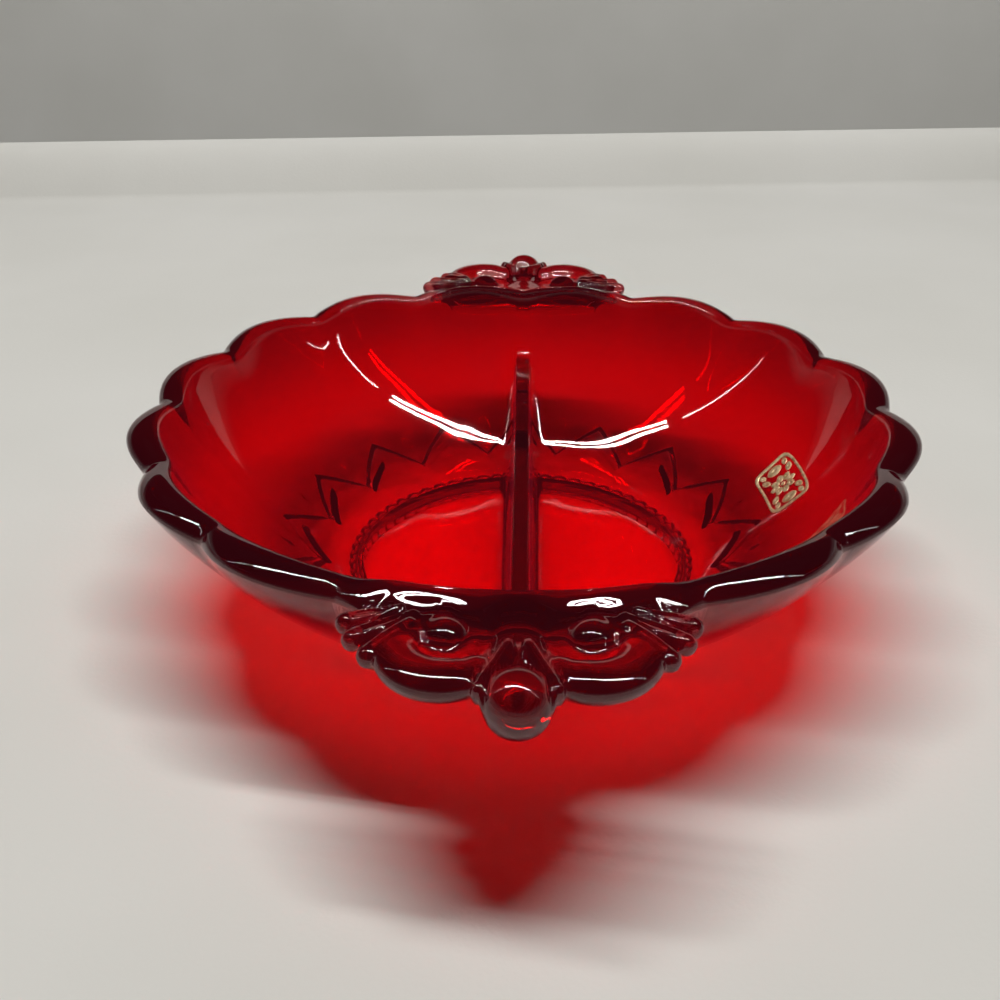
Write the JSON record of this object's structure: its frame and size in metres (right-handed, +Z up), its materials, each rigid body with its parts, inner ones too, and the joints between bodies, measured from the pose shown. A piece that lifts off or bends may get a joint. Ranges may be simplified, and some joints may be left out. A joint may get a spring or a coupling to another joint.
{
  "type": "divided candy dish",
  "caption": "Round ruby pressed-glass dish with a lobed rim, a low divider across the middle, a scroll handle at each end and a notched foot ring, for serving sweets or relishes.",
  "frame": {"origin": "on the table under the middle of the bowl", "axes": "+Z up, the handles and the divider along Y with the front handle at -Y, the foil label on the +X side"},
  "size_m": [0.1502, 0.1906, 0.0422],
  "materials": {
    "ruby_glass": "fire-polished pressed glass, clear and deep red",
    "gold_foil": "thin printed foil, worn at the edges"
  },
  "bodies": {
    "root": {"bowl_wall": "ruby_glass", "floor_disc": "ruby_glass", "foot_ring": "ruby_glass", "divider": "ruby_glass", "front_handle": "ruby_glass", "back_handle": "ruby_glass", "front_bead": "ruby_glass", "back_bead": "ruby_glass", "foil_label": "gold_foil"}
  },
  "joints": []
}
